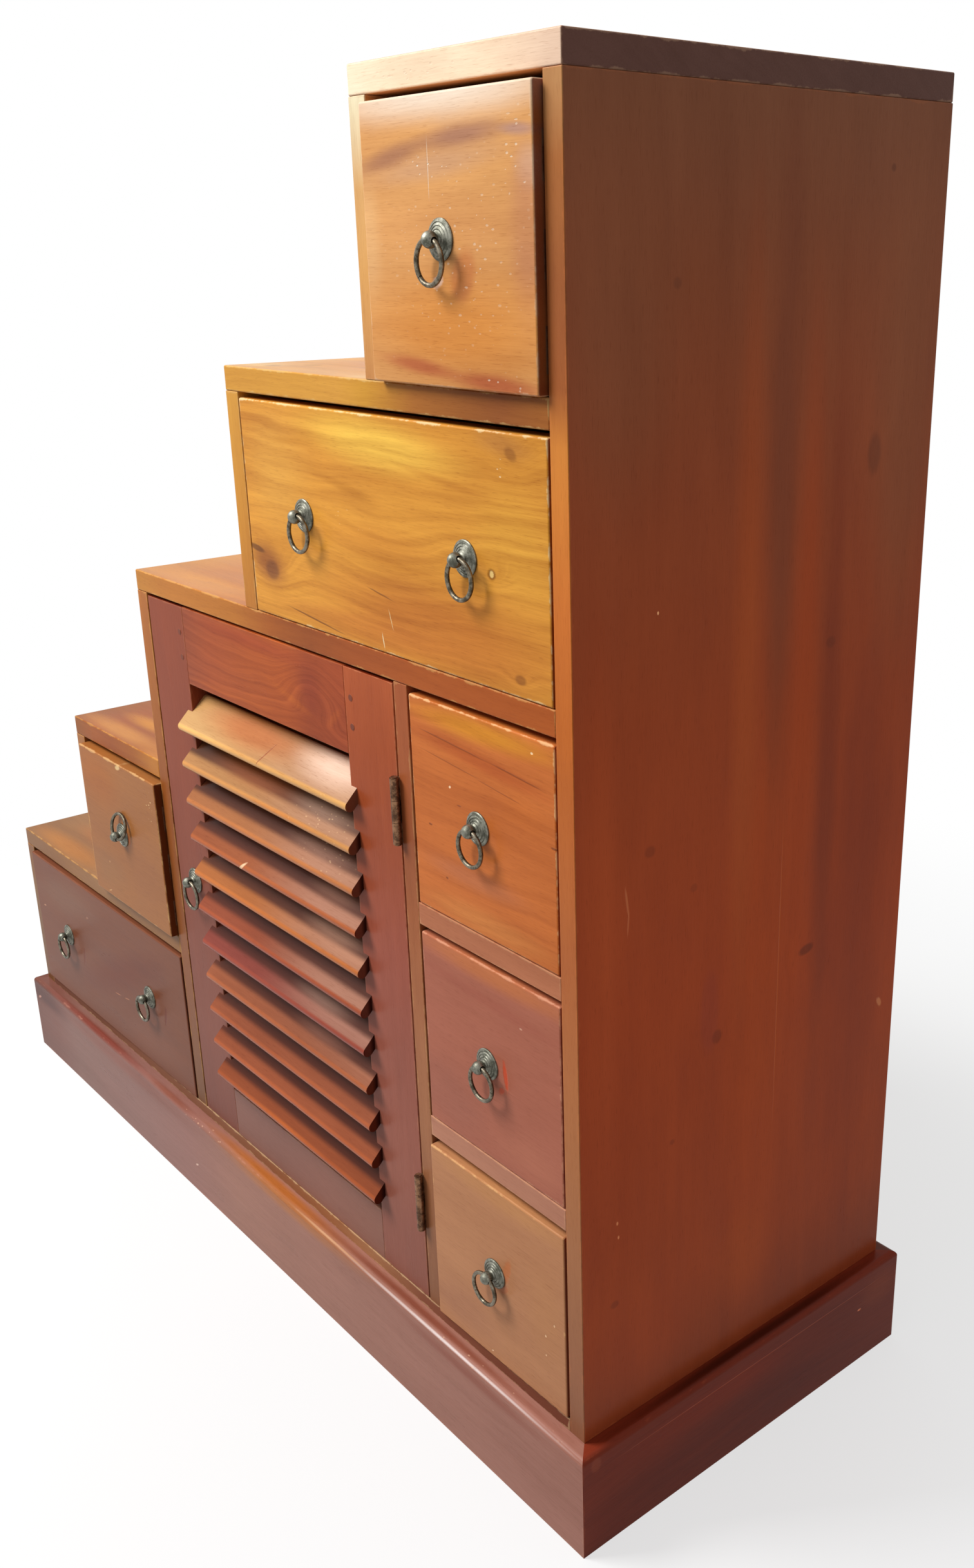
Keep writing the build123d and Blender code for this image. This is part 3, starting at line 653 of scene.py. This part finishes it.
        ], 630, 800),
    ),
    "riser_3": dict(
        grain="Z", trim=(0.9, 0.75, 0.4),
        colour=upright([
            (100, (124, 90, 80)), (200, (145, 98, 84)), (420, (158, 98, 64)),
            (520, (169, 107, 64)), (610, (180, 118, 74)),
        ]),
    ),
    "riser_2": dict(grain="Z", trim=(0.9, 0.75, 0.4), colour=(170, 118, 84)),
    "riser_1": dict(
        grain="Z", trim=(0.9, 0.75, 0.4),
        colour=upright([
            (90, (120, 84, 70)), (200, (136, 104, 90)), (262, (142, 100, 78)),
        ], 80, 270),
    ),
    "divider": dict(
        grain="Z", trim=(1.05, 1.0, 0.7), wear=0.2,
        colour=upright([
            (100, (138, 91, 73)), (250, (164, 110, 88)), (330, (170, 113, 90)),
            (440, (166, 100, 72)), (500, (150, 84, 60)), (560, (163, 90, 62)),
            (618, (160, 87, 60)),
        ]),
    ),
    "door_stile_left": dict(
        grain="Z", trim=(0.85, 0.55, 0.45), cloud=0.16, line=0.08, wear=0.15,
        colour=upright([
            (100, (132, 93, 84)), (200, (145, 103, 92)), (330, (143, 94, 78)),
            (450, (150, 93, 72)), (610, (150, 90, 65)),
        ]),
    ),
    "door_stile_right": dict(
        grain="Z", trim=(1.1, 0.85, 0.75), cloud=0.16, line=0.08, wear=0.15,
        colour=upright([
            (100, (138, 92, 80)), (200, (148, 99, 86)), (300, (148, 95, 82)),
            (400, (153, 91, 75)), (480, (150, 82, 54)), (560, (156, 83, 46)),
            (610, (166, 92, 54)),
        ]),
    ),
    "door_rail_top": dict(
        grain="X", trim=(0.85, 0.6, 0.45), line=0.62, pitch=5.0, wear=0.1,
        colour=level([
            (-516, (157, 91, 64)), (-470, (172, 97, 59)), (-400, (182, 104, 55)),
            (-345, (186, 106, 56)), (-310, (168, 92, 56)), (-262, (170, 92, 58)),
        ], -520, -250),
        marks=[
            (-306, 585, 26, 30, 0, (150, 76, 54), 0.7),
            (-400, 608, 120, 10, 0, (170, 88, 54), 0.8),
            (-420, 556, 110, 5, 0, (186, 108, 54), 0.6),
            (-340, 575, 50, 5, -14, (196, 116, 56), 0.6),
            (-275, 572, 20, 5, 40, (186, 106, 58), 0.6),
        ],
        swirls=[(-306, 590, 34, -26), (-260, 560, 26, 14)],
    ),
    "door_rail_bottom": dict(
        grain="X", trim=(0.95, 0.95, 0.9), cloud=0.14, line=0.06, wear=0.1,
        colour=level([
            (-516, (141, 95, 84)), (-430, (140, 93, 82)), (-350, (150, 99, 86)),
            (-262, (148, 98, 84)),
        ], -520, -250),
    ),
    "door_slats": dict(
        grain="X", trim=(1.0, 0.85, 0.65), colour=slat_colours, wear=0.0, rough=0.24,
        gloss=0.11,
        marks=[
            (-410, 529, 110, 18, 0, (188, 116, 72), 0.8),
            # Painted reflection of the window: the pale, pinkish sheen at the top slat's right
            # end.
            (-284, 529, 74, 16, 0, (240, 218, 216), 0.9),
            (-410, 493, 100, 12, 0, (178, 106, 64), 0.5),
            # Painted reflection of the window: the greyish sheen at the right of the slats
            # below.
            (-300, 492, 70, 9, 0, (196, 168, 160), 0.5),
            (-310, 457, 70, 8, 0, (176, 140, 132), 0.5),
            (-295, 424, 50, 7, 0, (170, 128, 116), 0.4),
            (-300, 389, 60, 8, 0, (184, 146, 134), 0.5),
            (-325, 319, 60, 7, 0, (146, 116, 112), 0.7),
            (-330, 285, 60, 7, 0, (142, 100, 92), 0.6),
            (-372, 198, 12, 6, 0, (120, 50, 26), 0.8),
            (-400, 170, 90, 3, 0, (196, 108, 50), 0.5),
            (-350, 478, 80, 3, 0, (222, 140, 66), 0.5),
        ],
        scars_and_painted_shadows=[
            (-378, 519, 13, 0.8, 58, (150, 80, 50), 0.8),
            (-427, 409, 9, 1.8, 38, (244, 220, 196), 0.9),
            (-335, 291, 12, 1.6, 0, (228, 156, 126), 0.7),
        ],
        flecks=[(-300, 480, 60, 60, 0, 0.35)],
    ),
    "door_pegs": dict(grain="Y", colour=(176, 118, 92), wear=0.0),
    "right_side_panel": dict(
        grain="Z", trim=(1.3, 1.15, 0.8), colour=side_panel, face=side, gain=SIDE_GAIN,
        cloud=0.18, line=0.12, fibre=0.05, pitch=11.0, sway=14.0, wear=0.1, worn=(160, 96, 64),
        marks=[
            (168, 380, 46, 330, 0, (133, 58, 30), 0.7),
            (272, 420, 58, 360, 0, (107, 45, 29), 0.75),
            (20, 480, 22, 260, 0, (138, 63, 38), 0.55),
            (300, 800, 50, 240, 0, (110, 68, 52), 0.5),
            (40, 850, 60, 130, 0, (106, 65, 51), 0.5),
            (178, 760, 18, 290, 0, (94, 51, 40), 0.6),
            (148, 640, 19, 340, 0, (132, 63, 36), 0.65),
            (206, 560, 19, 380, 0, (134, 58, 31), 0.65),
            (234, 540, 16, 400, 0, (100, 44, 31), 0.65),
            (120, 395, 12, 40, 0, (116, 50, 40), 0.5), (60, 150, 70, 60, 0, (118, 51, 31), 0.6),
            (160, 170, 40, 60, 0, (130, 60, 30), 0.5), (63, 532, 6, 5, 0, (84, 36, 26), 0.4),
            (103, 495, 4, 4, 0, (92, 40, 28), 0.35), (128, 373, 6, 7, 0, (80, 34, 24), 0.45),
            (220, 411, 10, 5, 8, (60, 26, 20), 0.55), (232, 641, 6, 5, 0, (76, 36, 28), 0.35),
            (268, 765, 9, 18, 0, (66, 38, 32), 0.4), (83, 876, 4, 4, 0, (78, 44, 36), 0.35),
            (30, 195, 5, 4, 0, (78, 34, 26), 0.4), (85, 305, 3, 3, 0, (96, 40, 28), 0.5),
            (272, 942, 3, 3, 0, (70, 40, 34), 0.5),
        ],
        scars_and_painted_shadows=[
            (43, 502, 1.2, 14, 8, (158, 96, 72), 0.5),
            (44, 488, 0.8, 12, -4, (160, 96, 72), 0.5),
            (311, 335, 3, 6, 30, (166, 110, 84), 0.6),
            (190, 400, 0.7, 150, 0, (150, 78, 44), 0.5),
            (33, 262, 1, 2, 0, (200, 140, 110), 0.5), (34, 250, 1, 2, 0, (200, 140, 110), 0.5),
            (69, 687, 1, 1.4, 0, (210, 160, 130), 0.7),
        ],
        swirls=[(128, 373, 26, 8), (220, 411, 24, 8), (268, 765, 30, 8)],
    ),
    "plinth_front": dict(
        grain="X", trim=(1.05, 0.85, 0.8), face=shelf("plinth_front", PLINTH_AHEAD),
        cloud=0.2, line=0.16, wear=0.3,
        worn=(200, 156, 134),
        colour=level([
            (-1003, (112, 74, 62)), (-940, (124, 88, 78)), (-880, (135, 106, 97)),
            (-700, (142, 110, 102)), (-600, (149, 113, 104)), (-500, (158, 120, 104)),
            (-300, (160, 121, 106)), (10, (163, 122, 108)),
        ]),
        marks=[
            (-970, -16, 90, 18, 0, (84, 46, 38), 0.9),
            (-760, -12, 240, 14, 0, (138, 90, 76), 0.7),
            (-820, 2, 180, 8, 0, (118, 54, 40), 0.9), (-640, 2, 80, 7, 0, (126, 74, 54), 0.8),
            (-400, -5, 170, 13, 0, (178, 122, 70), 0.9),
            (-430, 6, 170, 8, 0, (176, 112, 52), 0.95),
            (-120, -12, 130, 8, 0, (146, 92, 76), 0.8),
            (-190, 7, 220, 5, 0, (132, 76, 56), 0.8),
            # Partly a painted highlight and partly wear: the white and tan line along the
            # rounded top edge.
            (-150, -1, 190, 2.6, 0, (226, 226, 226), 1.0),
            (-330, 0, 80, 2.2, 0, (214, 180, 140), 0.8),
        ],
        scars_and_painted_shadows=[
            (-588, -56, 4, 1.4, 25, (236, 216, 200), 0.8),
            (-985, -22, 6, 2, 25, (214, 170, 150), 0.7),
        ],
        flecks=[(-560, 0, 80, 10, 0, 0.4), (-100, 1, 110, 8, 0, 0.6)],
    ),
    "plinth_right": dict(
        grain="Y", trim=(1.2, 0.7, 0.5), face=plinth_side,
        gain=SIDE_GAIN, colour=(84, 41, 30), cloud=0.2, line=0.2, wear=0.15, worn=(140, 92, 70),
        marks=[
            (120, -24, 130, 20, 0, (97, 45, 30), 0.8), (320, -26, 36, 24, 0, (98, 55, 39), 0.8),
            (170, 7, 200, 8, 0, (44, 22, 17), 0.9), (160, -60, 200, 30, 0, (78, 38, 29), 0.7),
        ],
        scars_and_painted_shadows=[
            (170, -17, 180, 0.5, 0, (140, 84, 62), 0.5),
            (294, -36, 3, 1.2, 0, (190, 140, 116), 0.8), (0, -10, 6, 8, 0, (120, 76, 60), 0.3),
        ],
    ),
    "bottom_board": dict(
        grain="X", trim=(1.2, 1.3, 1.2), wear=0.3,
        colour=level([
            (-980, (104, 62, 50)), (-500, (128, 82, 62)), (-350, (146, 90, 60)),
            (-280, (156, 104, 74)), (-200, (122, 70, 54)), (0, (112, 60, 46)),
        ]),
    ),
    "column_shelf_upper": dict(
        grain="X", trim=(1.0, 0.95, 0.85), colour=(180, 113, 83), wear=0.2,
    ),
    "column_shelf_lower": dict(
        grain="X", trim=(1.1, 1.0, 0.9), colour=(173, 121, 100), wear=0.2,
    ),
    "plinth_left": dict(grain="Y", colour=(112, 62, 48)),
    "plinth_back": dict(grain="X", colour=(112, 62, 48)),
    "back_boards": dict(grain="Z", colour=(196, 150, 104), rough=0.6, gloss=0.08, wear=0.1),
}

# Bright and dark colour, and roughness.
METALS = {
    "hinge": ((150, 112, 84), (84, 60, 45), 0.4),
    "ring": ((132, 124, 108), (72, 66, 54), 0.3),
    "pull": ((138, 137, 125), (88, 88, 77), 0.4),
}
SEED_STEP = 1.7  # between the figures of two pieces


def material_of(name, seed):
    """The material of one CAD piece, by its name."""
    if name in WOODS:
        return wood(name, seed=seed, **WOODS[name])
    if name.endswith("_box"):
        return wood(name, "Y", box_wood, seed=seed, rough=0.6, gloss=0.08, wear=0.1)
    return metal(name, *next(METALS[kind] for kind in METALS if kind in name))


for index, name in enumerate(sorted(nodes)):
    mesh = nodes[name].data
    mesh.materials.clear()
    mesh.materials.append(material_of(name, index * SEED_STEP))


# ---------------------------------------------------------------- floor and background

scene = bpy.context.scene
FLOOR_REACH = 8.0  # m from the middle to the floor's edges
FLOOR_LIT, FLOOR_SEEN = 0.34, 0.9  # its paleness as it lights the chest, and as it is seen
WHITE_FROM, WHITE_BY = 0.5, 1.3  # m from the middle: the floor turns plain white there
WHITE_NEAR, WHITE_FAR = 0.65, 1.0
WORLD_LIGHT = 0.38  # the world as it lights the chest; as it is seen it is 1


def background_rays(tree):
    """1 for the rays that show the background: straight, mirrored or refracted ones."""
    path = tree.nodes.new("ShaderNodeLightPath")
    socket = path.outputs["Is Camera Ray"]
    for kind in ("Is Glossy Ray", "Is Transmission Ray"):
        node = tree.nodes.new("ShaderNodeMath")
        node.operation = "MAXIMUM"
        tree.links.new(socket, node.inputs[0])
        tree.links.new(path.outputs[kind], node.inputs[1])
        socket = node.outputs[0]
    return socket


def floor_material():
    """Pale, with the chest's shadow on it, and plain white further out."""
    g = Graph("floor")
    diffuse = g.new("ShaderNodeBsdfDiffuse")
    glow = g.new("ShaderNodeEmission")
    shown = Value(g, background_rays(g.tree))
    pale = g.smooth(shown, 0.0, 1.0, FLOOR_LIT, FLOOR_SEEN)
    g.put(diffuse.inputs["Color"], g.vector(pale, pale, pale))
    away = g.math("SQRT", g.x * g.x + g.y * g.y)
    far = g.smooth(away, WHITE_FROM, WHITE_BY, WHITE_NEAR, WHITE_FAR)
    blend = g.new("ShaderNodeMixShader")
    g.put(blend.inputs[0], shown * far)
    g.tree.links.new(diffuse.outputs[0], blend.inputs[1])
    g.tree.links.new(glow.outputs[0], blend.inputs[2])
    out = g.new("ShaderNodeOutputMaterial")
    g.tree.links.new(blend.outputs[0], out.inputs[0])
    return g.material


def make_floor():
    far = FLOOR_REACH
    mesh = bpy.data.meshes.new("floor")
    mesh.from_pydata([(-far, -far, 0), (far, -far, 0), (far, far, 0), (-far, far, 0)],
                     [], [(0, 1, 2, 3)])
    mesh.materials.append(floor_material())
    floor = bpy.data.objects.new("floor", mesh)
    scene.collection.objects.link(floor)


def make_world():
    """A white background, and a soft light from all round."""
    world = bpy.data.worlds.new("studio")
    scene.world = world
    world.use_nodes = True
    tree = world.node_tree
    background = tree.nodes["Background"]
    strength = tree.nodes.new("ShaderNodeMapRange")
    strength.inputs["To Min"].default_value = WORLD_LIGHT
    tree.links.new(background_rays(tree), strength.inputs["Value"])
    tree.links.new(strength.outputs[0], background.inputs["Strength"])
    background.inputs["Color"].default_value = (1, 1, 1, 1)


# ---------------------------------------------------------------- lamp and camera

IMAGE = (1512, 2434)  # the photograph's size in pixels
FOCAL = 2275.4  # the focal length, in the photograph's pixels
AXIS = (950.0, 1240.0)  # the photograph's pixel on the lens's axis
SENSOR = 36.0  # mm, along the photograph's longer side
CAMERA_PLACE = (1.1289, -0.6909, 0.8905)  # m
HEADING, PITCH, ROLL = 138.651, -20.316, -0.385  # degrees from X, up and round the axis


def aimed(place, aim):
    """The turn that points a lamp at aim."""
    return (Vector(aim) - Vector(place)).to_track_quat("-Z", "Y").to_euler()


def make_lamp(name, place, aim, size, power):
    light = bpy.data.lights.new(name, "AREA")
    light.size, light.energy = size, power
    lamp = bpy.data.objects.new(name, light)
    lamp.location = place
    lamp.rotation_euler = aimed(place, aim)
    scene.collection.objects.link(lamp)


def make_camera():
    """The photograph's view, whose middle lies off the lens's axis."""
    camera = bpy.data.objects.new("camera", bpy.data.cameras.new("camera"))
    scene.collection.objects.link(camera)
    lens = camera.data
    lens.sensor_width = SENSOR
    lens.lens = FOCAL * SENSOR / IMAGE[1]
    lens.shift_x = (IMAGE[0] / 2 - AXIS[0]) / IMAGE[1]
    lens.shift_y = (AXIS[1] - IMAGE[1] / 2) / IMAGE[1]
    turn = (Matrix.Rotation(math.radians(HEADING - 90), 4, "Z")
            @ Matrix.Rotation(math.radians(90 + PITCH), 4, "X")
            @ Matrix.Rotation(math.radians(ROLL), 4, "Z"))
    camera.matrix_world = Matrix.Translation(CAMERA_PLACE) @ turn
    scene.camera = camera


make_floor()
make_world()
make_lamp("window", (-0.9, -1.35, 2.25), (0.0, 0.0, 0.55), 1.1, 72.0)
make_camera()
scene.view_settings.view_transform = "Standard"
